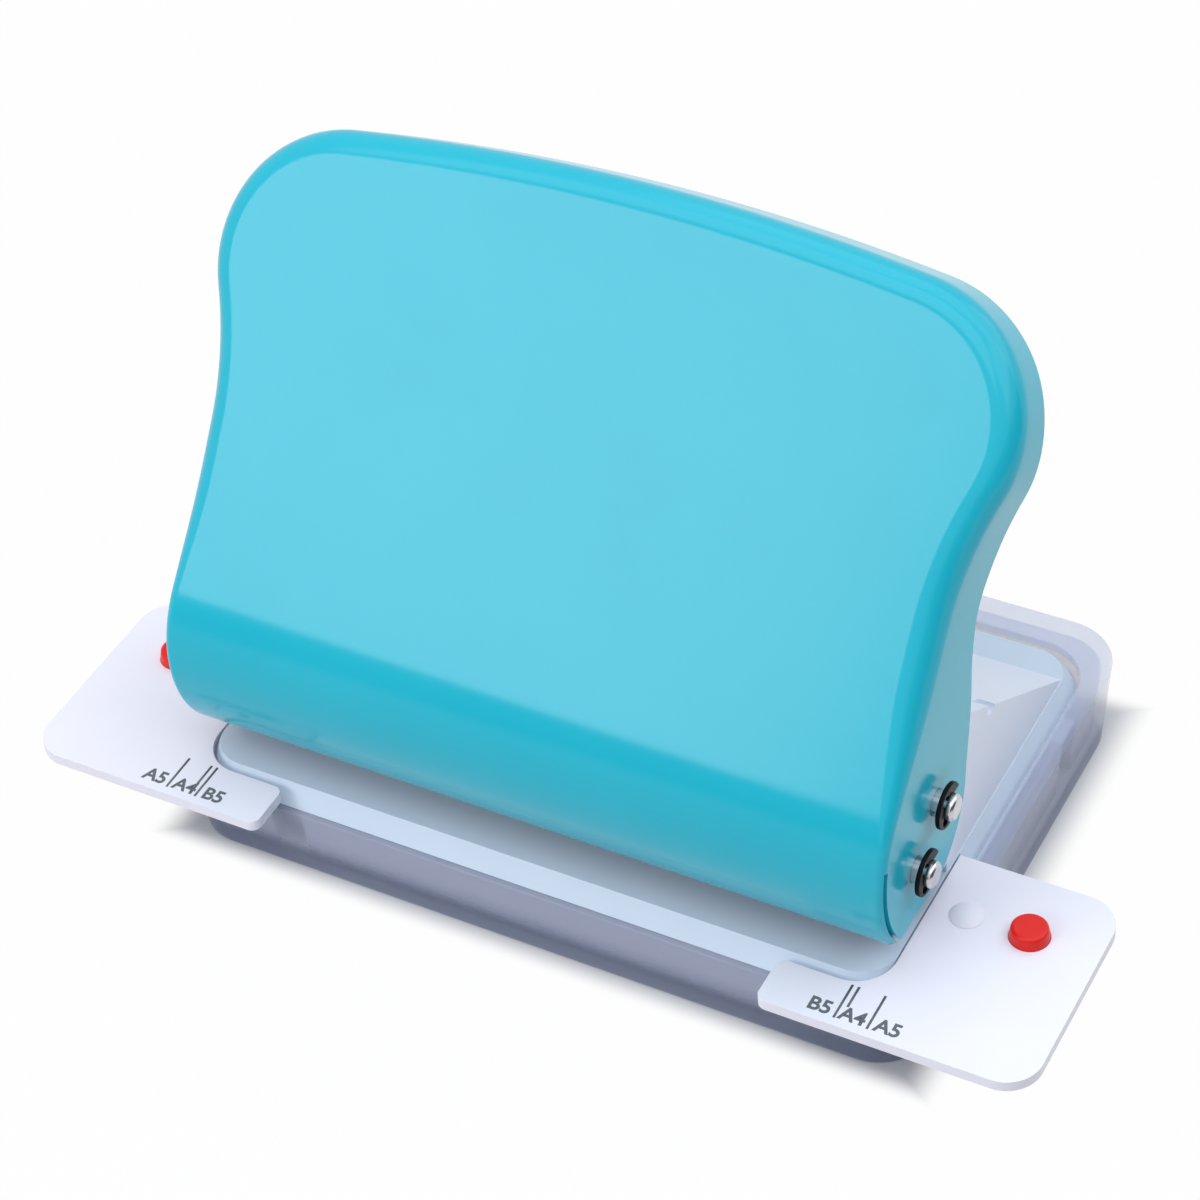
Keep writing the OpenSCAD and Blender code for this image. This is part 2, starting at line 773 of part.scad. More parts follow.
module right_wing() { wing(); }
module left_wing() { mirror([1, 0, 0]) wing(); }

module white_studs() {
    dome_r = (pow(stud_d / 2, 2) + stud_h * stud_h) / (2 * stud_h);
    color(white_plastic) both_sides() translate([stud_x, 0, bed_h]) {
        rotate_extrude() intersection() {
            translate([0, stud_h - dome_r]) circle(dome_r, $fn = 128);
            square([stud_d / 2, stud_h]);
        }
        translate([0, 0, -wing_t]) cylinder(wing_t, d = stud_d / 2);
    }
}

// Red pin: tapered knob, stem through the wing, flange that stops under it
module red_pin() {
    color(red_plastic) translate([pin_x, 0, 0]) rotate_extrude() polygon([
        [0, wing_z - flange_t], [flange_d / 2, wing_z - flange_t], [flange_d / 2, wing_z],
        [pin_d / 2, wing_z], [pin_d / 2, bed_h], [pin_d / 2 - pin_taper, bed_h + pin_h - pin_taper],
        [pin_d / 2 - 2 * pin_taper, bed_h + pin_h], [0, bed_h + pin_h]
    ]);
}

module red_pin_right() { red_pin(); }
module red_pin_left() { mirror([1, 0, 0]) red_pin(); }

// Cup under a wing that holds a pin and its spring
module pin_cup() {
    color(white_plastic) translate([pin_x, 0, cup_z]) difference() {
        cylinder(cup_depth, d = cup_d);
        translate([0, 0, cup_floor]) cylinder(cup_depth, d = cup_in_d);
    }
}

module right_pin_cup() { pin_cup(); }
module left_pin_cup() { mirror([1, 0, 0]) pin_cup(); }

module pin_spring() {
    seat = cup_z + cup_floor;
    h = wing_z - flange_t - seat;
    echo(pin_spring_gap = coil_gap(pin_spring_d / 2, pin_spring_wire, h, pin_spring_turns));
    color(dark_steel) translate([pin_x, 0, seat])
        coil(pin_spring_d / 2, pin_spring_wire, h, pin_spring_turns);
}

module right_pin_spring() { pin_spring(); }
module left_pin_spring() { mirror([1, 0, 0]) pin_spring(); }

// Outer shape of the tray, drawn in on all sides by a margin
module tray_block(m) {
    drafted_block(tray_x - m, tray_y0 + m, tray_y1 - m, tray_r - m, tray_top, -tray_draft);
}

// Tray rib that the deck stands on, with its back against a wall
module rib(x, y, w, d) {
    translate([x - w / 2, y - d / 2, 0]) cube([w, d, tray_low]);
}

// Clear tray: leaning walls, a rim that runs round the deck behind the wings, ribs inside, and
// room for the pin cups where a narrow frame brings them near
module chip_tray() {
    color(clear_plastic) {
        difference() {
            tray_block(0);
            difference() {
                tray_block(tray_wall);
                translate([-far, -far, -over]) cube([2 * far, 2 * far, tray_wall + over]);
                translate([-far, -far, tray_top - tray_flange_t]) cube(2 * far);
            }
            translate([0, 0, tray_wall]) linear_extrude(far)
                round_rect(-deck_x - gap, deck_x + gap, tray_y0 + tray_wall, deck_y1 + gap, deck_r);
            translate([-far, -far, tray_low]) cube([2 * far, far + tray_step_y, far]);
            both_sides() translate([tongue_in, -tongue_y - gap, deck_bottom - tongue_t - seat_gap])
                cube([far, 2 * (tongue_y + gap), far]);
            both_sides() translate([pin_x, 0, cup_z - gap]) cylinder(far, d = cup_d + 2 * gap);
        }
        intersection() {
            tray_block(tray_wall / 2);
            union() {
                for (x = [-rib_front_x, rib_front_x]) rib(x, tray_y0 + tray_wall, rib_w, 2 * rib_t);
                for (x = [-rib_rear_x, rib_rear_x]) rib(x, deck_y1 + gap, rib_w, 2 * rib_t);
                for (x = [-deck_x, deck_x]) rib(x, rib_side_y, 2 * rib_t, rib_w);
            }
        }
    }
}

chip_tray();
deck();
left_wing();
right_wing();
white_studs();
frame();
die_plate();
lower_punch_guide();
upper_punch_guide();
paper_stop();
punch(1);  // punch_1
punch(2);  // punch_2
punch(3);  // punch_3
punch(4);  // punch_4
punch(5);  // punch_5
punch(6);  // punch_6
punch(7);  // punch_7
punch(8);  // punch_8
punch(9);  // punch_9
punch(10);  // punch_10
punch_springs();
handle();
pivot_shaft();
press_rod();
pivot_clips();
press_rod_clips();
red_pin_left();
red_pin_right();
left_pin_spring();
right_pin_spring();
left_pin_cup();
right_pin_cup();
frame_screws();
wing_screws();
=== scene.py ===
import json
import math

import bmesh
import bpy
from mathutils import Matrix, Vector


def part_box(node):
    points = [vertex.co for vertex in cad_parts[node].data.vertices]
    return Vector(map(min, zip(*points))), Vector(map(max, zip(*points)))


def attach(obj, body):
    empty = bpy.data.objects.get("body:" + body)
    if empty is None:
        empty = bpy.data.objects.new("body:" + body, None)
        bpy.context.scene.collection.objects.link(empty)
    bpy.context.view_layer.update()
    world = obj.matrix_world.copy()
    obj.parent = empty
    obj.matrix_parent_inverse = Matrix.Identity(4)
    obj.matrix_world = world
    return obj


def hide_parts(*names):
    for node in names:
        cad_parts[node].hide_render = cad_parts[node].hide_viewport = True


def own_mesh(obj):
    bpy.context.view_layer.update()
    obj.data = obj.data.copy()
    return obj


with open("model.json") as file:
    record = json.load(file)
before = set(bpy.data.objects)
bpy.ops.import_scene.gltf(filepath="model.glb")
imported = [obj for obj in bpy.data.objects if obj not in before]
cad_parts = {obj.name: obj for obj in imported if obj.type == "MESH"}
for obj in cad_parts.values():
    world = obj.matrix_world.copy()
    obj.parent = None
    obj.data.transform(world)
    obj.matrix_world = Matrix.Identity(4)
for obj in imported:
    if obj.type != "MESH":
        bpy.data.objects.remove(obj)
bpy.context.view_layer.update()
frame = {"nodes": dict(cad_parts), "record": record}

# Looks of a loose-leaf hole punch. Lengths are in metres, and MM turns millimetres into metres.
MM = 0.001
NODES = frame["nodes"]
BODIES = frame["record"]["behaviour"]["bodies"]
BODY_OF = {node: body for body, nodes in BODIES.items() for node in nodes}
SIDES = (("left", -1), ("right", 1))

# Places taken from the frame
PAPER_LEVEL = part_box("right_wing")[1].z
DECK_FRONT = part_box("deck")[0].y
PIN_X = (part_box("right_pin_spring")[0].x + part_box("right_pin_spring")[1].x) / 2
PUNCH_COUNT = 10
PITCH = (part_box("punch_10")[0].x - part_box("punch_1")[0].x) / (PUNCH_COUNT - 1)
FIRST_PUNCH = -PITCH * (PUNCH_COUNT - 1) / 2


# Materials. Noise scales are in waves per metre.
NOISE_DETAIL = 2.0
PAINT_MOTTLE = 60.0
PAINT_PEEL = 700.0
PLASTIC_MOTTLE = 90.0
PLASTIC_GRAIN = 2500.0
STEEL_MOTTLE = 900.0
STEEL_MARKS = 1500.0
STEEL_MARK_HEIGHT = 0.004 * MM
# Clear plastic colours: the darker foot colour is partly the foot's deeper tint and partly painted shade
CLEAR_FOOT_TINT_AND_SHADE = (0.16, 0.21, 0.36)
CLEAR_HIGH = (0.70, 0.75, 0.94)
CLEAR_ROUGHNESS = 0.12
CLEAR_IOR = 1.45
CLEAR_COVER = 0.34
# The clear plastic's colour changes between these heights. It is darker below them: partly the deeper tint
# of the thicker foot, partly painted shade.
FOOT_LOW = 3.0 * MM
FOOT_HIGH = 6.5 * MM
# Stretch of the noise: none, or drawn out along one axis
EVEN = (1.0, 1.0, 1.0)
ALONG_X = (0.03, 1.0, 1.0)
ALONG_Z = (1.0, 1.0, 0.05)


def new_material(name, **sockets):
    """A principled material with its even values set on the shader's own sockets."""
    material = bpy.data.materials.new(name)
    material.use_nodes = True
    shader = material.node_tree.nodes["Principled BSDF"]
    for socket, value in sockets.items():
        shader.inputs[socket.replace("_", " ")].default_value = value
    return material, material.node_tree, shader


def object_noise(tree, scale, stretch):
    """Noise fixed to the piece, stretched along the axes where asked."""
    place = tree.nodes.new("ShaderNodeTexCoord")
    mapping = tree.nodes.new("ShaderNodeMapping")
    mapping.inputs["Scale"].default_value = stretch
    noise = tree.nodes.new("ShaderNodeTexNoise")
    noise.inputs["Scale"].default_value = scale
    noise.inputs["Detail"].default_value = NOISE_DETAIL
    tree.links.new(place.outputs["Object"], mapping.inputs["Vector"])
    tree.links.new(mapping.outputs["Vector"], noise.inputs["Vector"])
    return noise


def colour_mix(tree, shader, low, high):
    """Base colour between two colours. Returns the socket that chooses."""
    mix = tree.nodes.new("ShaderNodeMix")
    mix.data_type = "RGBA"
    mix.inputs["A"].default_value = (*low, 1.0)
    mix.inputs["B"].default_value = (*high, 1.0)
    tree.links.new(mix.outputs["Result"], shader.inputs["Base Color"])
    return mix.inputs["Factor"]


def add_mottle(tree, shader, low, high, scale, stretch=EVEN):
    """Base colour that wanders between two near colours."""
    noise = object_noise(tree, scale, stretch)
    tree.links.new(noise.outputs["Fac"], colour_mix(tree, shader, low, high))


def add_bump(tree, shader, scale, height, stretch=EVEN):
    """Fine relief, its height in metres."""
    noise = object_noise(tree, scale, stretch)
    bump = tree.nodes.new("ShaderNodeBump")
    bump.inputs["Strength"].default_value = 1.0
    bump.inputs["Distance"].default_value = height
    tree.links.new(noise.outputs["Fac"], bump.inputs["Height"])
    tree.links.new(bump.outputs["Normal"], shader.inputs["Normal"])


def painted(name, low, high, roughness, peel, gloss):
    """Enamel: an even colour with a soft gloss and a slight orange peel."""
    material, tree, shader = new_material(name, Roughness=roughness, Specular_IOR_Level=gloss)
    add_mottle(tree, shader, low, high, PAINT_MOTTLE)
    add_bump(tree, shader, PAINT_PEEL, peel)
    return material


def moulded(name, low, high, roughness, grain, gloss):
    """Plastic with a fine moulded grain."""
    material, tree, shader = new_material(name, Roughness=roughness, Specular_IOR_Level=gloss)
    add_mottle(tree, shader, low, high, PLASTIC_MOTTLE)
    add_bump(tree, shader, PLASTIC_GRAIN, grain)
    return material


def metal(name, low, high, roughness, stretch):
    """Steel with drawn marks along one axis."""
    material, tree, shader = new_material(name, Metallic=1.0, Roughness=roughness)
    add_mottle(tree, shader, low, high, STEEL_MOTTLE, stretch)
    add_bump(tree, shader, STEEL_MARKS, STEEL_MARK_HEIGHT, stretch)
    return material


def clear(name):
    """Clear plastic: a thin lilac haze, darker at the foot, partly the deeper tint of the thicker foot and
    partly painted shade.
    """
    material, tree, shader = new_material(name, Roughness=CLEAR_ROUGHNESS, IOR=CLEAR_IOR, Alpha=CLEAR_COVER)
    place = tree.nodes.new("ShaderNodeTexCoord")
    parts = tree.nodes.new("ShaderNodeSeparateXYZ")
    # Darker towards the foot: partly the foot's deeper tint, partly painted shade
    rise = tree.nodes.new("ShaderNodeMapRange")
    rise.interpolation_type = "SMOOTHSTEP"
    rise.inputs["From Min"].default_value = FOOT_LOW
    rise.inputs["From Max"].default_value = FOOT_HIGH
    tree.links.new(place.outputs["Object"], parts.inputs["Vector"])
    tree.links.new(parts.outputs["Z"], rise.inputs["Value"])
    tree.links.new(rise.outputs["Result"], colour_mix(tree, shader, CLEAR_FOOT_TINT_AND_SHADE, CLEAR_HIGH))
    return material


# Paints and plastics: two near colours, roughness, height of the relief, gloss level
PAINTS = {
    "turquoise_paint": ((0.014, 0.43, 0.56), (0.018, 0.46, 0.59), 0.17, 0.003 * MM, 0.25),
    "frame_white": ((0.74, 0.79, 0.90), (0.78, 0.83, 0.94), 0.34, 0.003 * MM, 0.5),
}
PLASTICS = {
    "deck_white": ((0.58, 0.67, 0.78), (0.62, 0.71, 0.82), 0.32, 0.006 * MM, 0.5),
    "wing_white": ((0.82, 0.80, 0.88), (0.86, 0.84, 0.92), 0.42, 0.006 * MM, 0.5),
    "red_plastic": ((0.74, 0.010, 0.006), (0.78, 0.014, 0.009), 0.32, 0.004 * MM, 0.3),
    "clip_black": ((0.006, 0.006, 0.007), (0.010, 0.010, 0.012), 0.3, 0.004 * MM, 0.06),
    "print_grey": ((0.10, 0.11, 0.12), (0.13, 0.14, 0.15), 0.6, 0.002 * MM, 0.5),
}
# Metals: two near colours, roughness, stretch of the drawn marks
METALS = {
    "steel": ((0.52, 0.53, 0.55), (0.62, 0.63, 0.65), 0.32, ALONG_X),
    "bright_steel": ((0.52, 0.52, 0.54), (0.62, 0.62, 0.64), 0.24, ALONG_X),
    "punch_steel": ((0.68, 0.68, 0.70), (0.80, 0.80, 0.81), 0.2, ALONG_Z),
    "spring_steel": ((0.50, 0.50, 0.52), (0.60, 0.60, 0.62), 0.25, ALONG_Z),
    "screw_steel": ((0.55, 0.55, 0.57), (0.66, 0.66, 0.68), 0.3, ALONG_Z),
}
FINISH = {"clear_plastic": clear("clear_plastic")}
for finish, kinds in ((painted, PAINTS), (moulded, PLASTICS), (metal, METALS)):
    for name, values in kinds.items():
        FINISH[name] = finish(name, *values)


# Pieces
EDGE_SEGMENTS = 3
SHARP_ANGLE = math.radians(40.0)
MERGE_DISTANCE = 0.002 * MM
FLAT_ANGLE = math.radians(0.4)


def add_object(name, data):
    """A new object in the scene."""
    thing = bpy.data.objects.new(name, data)
    bpy.context.scene.collection.objects.link(thing)
    return thing


def mesh_from(bm, name):
    """A new mesh from bm, which is freed."""
    mesh = bpy.data.meshes.new(name)
    bm.to_mesh(mesh)
    bm.free()
    return mesh


def add_piece(name, mesh, material):
    """A new object with one material, smooth-shaded."""
    piece = add_object(name, mesh)
    mesh.materials.clear()
    mesh.materials.append(FINISH[material])
    mesh.polygons.foreach_set("use_smooth", [True] * len(mesh.polygons))
    return piece


def round_edges(piece, width, segments):
    """Small round on every sharp edge, with normals that keep the flats flat."""
    bevel = piece.modifiers.new("edges", "BEVEL")
    bevel.width = width
    bevel.segments = segments
    bevel.limit_method = "ANGLE"
    bevel.angle_limit = SHARP_ANGLE
    bevel.use_clamp_overlap = True
    weighted = piece.modifiers.new("normals", "WEIGHTED_NORMAL")
    weighted.keep_sharp = True


def dress(node, material, width):
    """A copy of a CAD node with rounded edges and its own finish, in the node's place."""
    mesh = NODES[node].data.copy()
    bm = bmesh.new()
    bm.from_mesh(mesh)
    bmesh.ops.remove_doubles(bm, verts=bm.verts, dist=MERGE_DISTANCE)
    bmesh.ops.dissolve_limit(bm, angle_limit=FLAT_ANGLE, verts=bm.verts, edges=bm.edges)
    bm.to_mesh(mesh)
    bm.free()
    piece = add_piece(node + "_look", mesh, material)
    round_edges(piece, width, EDGE_SEGMENTS)
    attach(piece, BODY_OF[node])
    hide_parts(node)


PUNCHES = ["punch_%d" % (i + 1) for i in range(PUNCH_COUNT)]
# Material, slot of the record, width of the rounded edges, nodes
DRESSED = [
    ("frame_white", "frame_white", 0.25 * MM, ["frame"]),
    ("deck_white", "deck_white", 0.9 * MM, ["deck"]),
    ("wing_white", "wing_white", 0.35 * MM, ["left_wing", "right_wing"]),
    ("wing_white", "wing_white", 0.2 * MM, ["white_studs", "left_pin_cup", "right_pin_cup"]),
    ("red_plastic", "red_plastic", 0.25 * MM, ["red_pin_left", "red_pin_right"]),
    ("clear_plastic", "clear_plastic", 0.5 * MM, ["chip_tray"]),
    ("steel", "steel", 0.12 * MM, ["die_plate", "lower_punch_guide", "upper_punch_guide", "paper_stop"]),
    ("punch_steel", "bright_steel", 0.1 * MM, PUNCHES),
    ("bright_steel", "bright_steel", 0.12 * MM, ["pivot_shaft", "press_rod"]),
    ("clip_black", "clip_black", 0.12 * MM, ["pivot_clips", "press_rod_clips"]),
    ("screw_steel", "screw_steel", 0.1 * MM, ["frame_screws", "wing_screws"]),
]
for material, slot, width, nodes in DRESSED:
    for node in nodes:
        dress(node, material, width)


# Handle: one smooth stamped shell, its bends, and the depth of its rim behind the panel's front
SHEET = 1.2 * MM
BEND_R = 4.0 * MM
SLIT_BEND_R = 1.3 * MM
RIM_DEPTH = 11.0 * MM
# Panel: its lean from level, how far before the shafts it lies, and the stretches of its outline
PANEL_LEAN = math.radians(54.5)
PANEL_OUT = 16.0 * MM
PANEL_LEN = 78.0 * MM
WAIST = 30.0 * MM
FLARE_R = 57.0 * MM
CORNER_R = 20.0 * MM
TOP_R = 358.0 * MM
# Curled nose, and the ears that carry the shafts
NOSE_R = 22.0 * MM
NOSE_RISE = 4.8 * MM
EAR_R = 13.8 * MM
EAR_X = 57.7 * MM
# How far the front of an ear lies inside the nose's outer face, beside the slit
EAR_FRONT = 1.3 * MM
# Angle round the nose where a slit starts
SLIT_START = math.radians(168.0)
# An ear's front turns to its toe this angle before the nose's end, and the toe lies this far behind it
TOE_TURN = math.radians(3.0)
TOE_BACK = 1.6 * MM
SHAFT_HOLE_D = 4.1 * MM
HANDLE_EDGE = 0.2 * MM
HANDLE_EDGE_SEGMENTS = 2
# The rim's bend is full above the first height up the panel and tight below the second
BEND_FULL = 24.0 * MM
BEND_TIGHT = -6.0 * MM
# Rear edge of an ear: how far up the panel, and how far behind the panel's front
EAR_NECK = [(8.0 * MM, 27.24 * MM), (18.1 * MM, 22.1 * MM), (25.0 * MM, 17.6 * MM), (31.6 * MM, 14.8 * MM),
            (39.0 * MM, 14.0 * MM), (48.0 * MM, 12.8 * MM), (62.0 * MM, RIM_DEPTH)]

# Points along each stretch of the handle's mesh
WAIST_POINTS = 20
FLARE_POINTS = 20
CORNER_POINTS = 32
TOP_POINTS = 22
NOSE_POINTS = 10
SLIT_POINTS = 20
TOE_POINTS = 14
EAR_REAR_POINTS = 10
# Steps across the bend, those of them that the nose keeps beside a slit, and steps down the wall
BEND_STEPS = 8
FLAP_STEPS = 5
WALL_STEPS = 4
HOLE_SIDES = 48
CUTTER_LEN = 300.0 * MM

PIVOT = (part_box("pivot_shaft")[0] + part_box("pivot_shaft")[1]) / 2
ROD = (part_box("press_rod")[0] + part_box("press_rod")[1]) / 2
HUB = (PIVOT + ROD) / 2
HANDLE_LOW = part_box("handle")[0].z
UP_PANEL = Vector((0.0, math.cos(PANEL_LEAN), math.sin(PANEL_LEAN)))
OUT_PANEL = Vector((0.0, -math.sin(PANEL_LEAN), math.cos(PANEL_LEAN)))
PANEL_FOOT = HUB + PANEL_OUT * OUT_PANEL
NOSE = PANEL_FOOT + NOSE_RISE * UP_PANEL - NOSE_R * OUT_PANEL
NOSE_START = math.pi / 2 + PANEL_LEAN
NOSE_END = math.pi + math.asin((NOSE.z - HANDLE_LOW) / NOSE_R)


def on_panel(across, up, depth):
    """A point given across the panel, up it, and behind its front."""
    return PANEL_FOOT + Vector((across, 0, 0)) + up * UP_PANEL - depth * OUT_PANEL


def round_point(centre, across, angle, radius):
    """A point on a circle in a plane square to the shafts."""
    return Vector((across, centre.y + radius * math.cos(angle), centre.z + radius * math.sin(angle)))


def between(first, last, count):
    """count values from first to last, both included."""
    return [first + (last - first) * i / (count - 1) for i in range(count)]


def circles_meet(a, radius_a, b, radius_b):
    """Point where two circles cross, on the right of the way from a to b."""
    way = b - a
    span = way.length
    along = (span * span + radius_a ** 2 - radius_b ** 2) / (2 * span)
    aside = math.sqrt(radius_a ** 2 - along ** 2)
    unit = way / span
    return a + along * unit + aside * Vector((unit.y, -unit.x))


def angle_to(a, b):
    """Direction from a to b."""
    return math.atan2(b.y - a.y, b.x - a.x)


def arc(centre, radius, start, end, count, facing):
    """Stations along an arc without its first: place and outward direction."""
    rays = [Vector((math.cos(angle), math.sin(angle))) for angle in between(start, end, count)[1:]]
    return [(centre + radius * ray, facing * ray) for ray in rays]


def right_outline():
    """Stations up the right edge of the panel to the middle of its top: place and outward direction."""
    flare = Vector((EAR_X + FLARE_R, WAIST))
    top = Vector((0.0, PANEL_LEN - TOP_R))
    corner = circles_meet(flare, FLARE_R + CORNER_R, top, TOP_R - CORNER_R)
    corner_end = angle_to(top, corner)
    rows = [(Vector((EAR_X, up)), Vector((1.0, 0.0))) for up in between(NOSE_RISE, WAIST, WAIST_POINTS)]
    rows += arc(flare, FLARE_R, math.pi, angle_to(flare, corner), FLARE_POINTS, -1)
    rows += arc(corner, CORNER_R, angle_to(corner, flare), corner_end, CORNER_POINTS, 1)
    rows += arc(top, TOP_R, corner_end, math.pi / 2, TOP_POINTS, 1)
    return rows


def slope(a, b):
    """Rise of depth with height between two points of the ear's rear edge."""
    return (b[1] - a[1]) / (b[0] - a[0])


def ear_depth(up):
    """Depth of the rear edge at a height up the panel: round below, then a smooth neck, then the rim."""
    if up <= EAR_NECK[0][0]:
        return PANEL_OUT + math.sqrt(EAR_R ** 2 - up ** 2)
    if up >= EAR_NECK[-1][0]:
        return RIM_DEPTH
    spot = max(i for i, point in enumerate(EAR_NECK) if point[0] <= up)
    low, high = EAR_NECK[spot], EAR_NECK[spot + 1]
    slope_low = slope(EAR_NECK[max(spot - 1, 0)], high)
    slope_high = slope(low, EAR_NECK[spot + 2]) if spot + 2 < len(EAR_NECK) else 0.0
    span = high[0] - low[0]
    t = (up - low[0]) / span
    return ((2 * t ** 3 - 3 * t ** 2 + 1) * low[1] + (t ** 3 - 2 * t ** 2 + t) * span * slope_low
            + (3 * t ** 2 - 2 * t ** 3) * high[1] + (t ** 3 - t ** 2) * span * slope_high)


def bend_radius(up):
    """Radius of the side bend: it tightens down the panel and round the nose to the slit."""
    share = min(max((up - BEND_TIGHT) / (BEND_FULL - BEND_TIGHT), 0.0), 1.0)
    smooth = share * share * (3 - 2 * share)
    return SLIT_BEND_R + (BEND_R - SLIT_BEND_R) * smooth


def bend_steps(radius):
    """Across the bend: how far in from the outer face, and how far behind the front."""
    turns = between(0.0, math.pi / 2, BEND_STEPS + 1)
    return [(radius * (1 - math.sin(turn)), radius * (1 - math.cos(turn))) for turn in turns]


def shell_skin():
    """Outer skin of the handle as an open mesh."""
    bm = bmesh.new()
    right = right_outline()
    left = [(Vector((-p.x, p.y)), Vector((-n.x, n.y))) for p, n in reversed(right[:-1])]
    rings = []
    for place, out in right + left:
        ring = []
        radius = bend_radius(place.y)
        for inward, depth in bend_steps(radius):
            spot = place - inward * out
            ring.append(bm.verts.new(on_panel(spot.x, spot.y, depth)))
        for depth in between(radius, ear_depth(place.y), WALL_STEPS + 1)[1:]:
            ring.append(bm.verts.new(on_panel(place.x, place.y, depth)))
        rings.append(ring)
    for a, b in zip(rings, rings[1:]):
        for k in range(len(a) - 1):
            bm.faces.new((a[k], b[k], b[k + 1], a[k + 1]))
    bm.faces.new([ring[0] for ring in rings])
    add_nose(bm, rings[0], rings[-1])
    bmesh.ops.recalc_face_normals(bm, faces=bm.faces)
    bm.faces.ensure_lookup_table()
    panel = max(bm.faces, key=lambda face: face.calc_area())
    if panel.normal.dot(OUT_PANEL) < 0:
        bmesh.ops.reverse_faces(bm, faces=bm.faces)
    return bm


def nose_row(bm, side, angle):
    """Points across one side bend of the nose. Beside the slit the bend stops short."""
    steps = bend_steps(bend_radius(NOSE_RISE - NOSE_R * (angle - NOSE_START)))
    if angle > SLIT_START:
        steps = steps[:FLAP_STEPS + 1]
    row = []
    for inward, depth in steps:
        row.append(bm.verts.new(round_point(NOSE, side * (EAR_X - inward), angle, NOSE_R - depth)))
    return row


def add_nose(bm, right_ring, left_ring):
    """Curled nose under the panel. Its side bends tighten, and slits part it from the ears below."""
    whole = between(NOSE_START, SLIT_START, NOSE_POINTS)[1:]
    slit = between(SLIT_START, NOSE_END, SLIT_POINTS)[1:]
    edges = []
    for side, ring in ((1, right_ring), (-1, left_ring)):
        rows = [ring[:BEND_STEPS + 1]] + [nose_row(bm, side, angle) for angle in whole + slit]
        for a, b in zip(rows, rows[1:]):
            for k in range(min(len(a), len(b)) - 1):
                bm.faces.new((a[k], a[k + 1], b[k + 1], b[k]))
        add_ear(bm, side * EAR_X, ring, [row[BEND_STEPS] for row in rows[1:len(whole) + 1]])
        edges.append([row[0] for row in rows])
    right, left = edges
    for i in range(len(right) - 1):
        bm.faces.new((right[i], left[i], left[i + 1], right[i + 1]))


def add_ear(bm, across, ring, front_verts):
    """Lower half of an ear: its front along the slit, a toe, a flat foot and a round rear."""
    front_r = NOSE_R - EAR_FRONT
    front_turns = between(SLIT_START, NOSE_END - TOE_TURN, TOE_POINTS)
    toe_y = NOSE.y + NOSE_R * math.cos(NOSE_END) + TOE_BACK
    rear_start = 2 * math.pi - math.asin((HUB.z - HANDLE_LOW) / EAR_R)
    rear_end = PANEL_LEAN + math.pi * 1.5 + math.asin(NOSE_RISE / EAR_R)
    rear_turns = between(rear_start, rear_end, EAR_REAR_POINTS)[:-1]
    edge = [round_point(NOSE, across, turn, front_r) for turn in front_turns]
    edge.append(Vector((across, toe_y, HANDLE_LOW)))
    edge += [round_point(HUB, across, turn, EAR_R) for turn in rear_turns]
    bm.faces.new(list(front_verts) + [bm.verts.new(p) for p in edge] + list(reversed(ring[BEND_STEPS:])))


def shaft_cutter():
    """Two round bars where the shafts pass through the ears."""
    bm = bmesh.new()
    radius = SHAFT_HOLE_D / 2
    for centre in (PIVOT, ROD):
        made = bmesh.ops.create_cone(bm, cap_ends=True, segments=HOLE_SIDES, radius1=radius,
                                     radius2=radius, depth=CUTTER_LEN)
        turn = Matrix.Translation(centre) @ Matrix.Rotation(math.pi / 2, 4, "Y")
        bmesh.ops.transform(bm, verts=made["verts"], matrix=turn)
    return add_object("shaft_cutter", mesh_from(bm, "shaft_cutter"))


def settle(piece):
    """The piece's mesh with its modifiers worked in. The piece itself is removed."""
    bpy.context.view_layer.update()
    shape = piece.evaluated_get(bpy.context.evaluated_depsgraph_get())
    mesh = bpy.data.meshes.new_from_object(shape)
    bpy.data.objects.remove(piece)
    return mesh


def make_handle():
    """The skin thickened to sheet, with the shaft holes cut and the edges rounded."""
    skin = add_object("handle_skin", mesh_from(shell_skin(), "handle_skin"))
    sheet = skin.modifiers.new("sheet", "SOLIDIFY")
    sheet.thickness = SHEET
    sheet.offset = -1.0
    sheet.use_even_offset = True
    sheet.use_quality_normals = True
    cutter = shaft_cutter()
    holes = skin.modifiers.new("holes", "BOOLEAN")
    holes.operation = "DIFFERENCE"
    holes.solver = "EXACT"
    holes.object = cutter
    mesh = settle(skin)
    bpy.data.objects.remove(cutter)
    piece = add_piece("handle_shell", mesh, "turquoise_paint")
    round_edges(piece, HANDLE_EDGE, HANDLE_EDGE_SEGMENTS)
    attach(piece, "handle")
    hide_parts("handle")


make_handle()


# Springs: mean diameter, wire and free turns
PUNCH_SPRING = (6.9 * MM, 0.6 * MM, 3.5)
PIN_SPRING = (5.5 * MM, 0.5 * MM, 2.5)
# Each end has one turn more, and nearly all of it lies flat
END_TURNS = 1
FLAT_TURN = 0.9
TURN_STEPS = 24
WIRE_SIDES = 10


def coil_points(radius, wire, height, turns):
    """Centreline of a spring with one closed turn at each end."""
    all_turns = turns + 2 * END_TURNS
    climb = all_turns - 2 * FLAT_TURN
    points = []
    for i in range(int(all_turns * TURN_STEPS) + 1):
        turn = i / TURN_STEPS
        rise = min(max((turn - FLAT_TURN) / climb, 0.0), 1.0)
        angle = 2 * math.pi * turn
        level = wire / 2 + rise * (height - wire)
        points.append(Vector((radius * math.cos(angle), radius * math.sin(angle), level)))
    return points


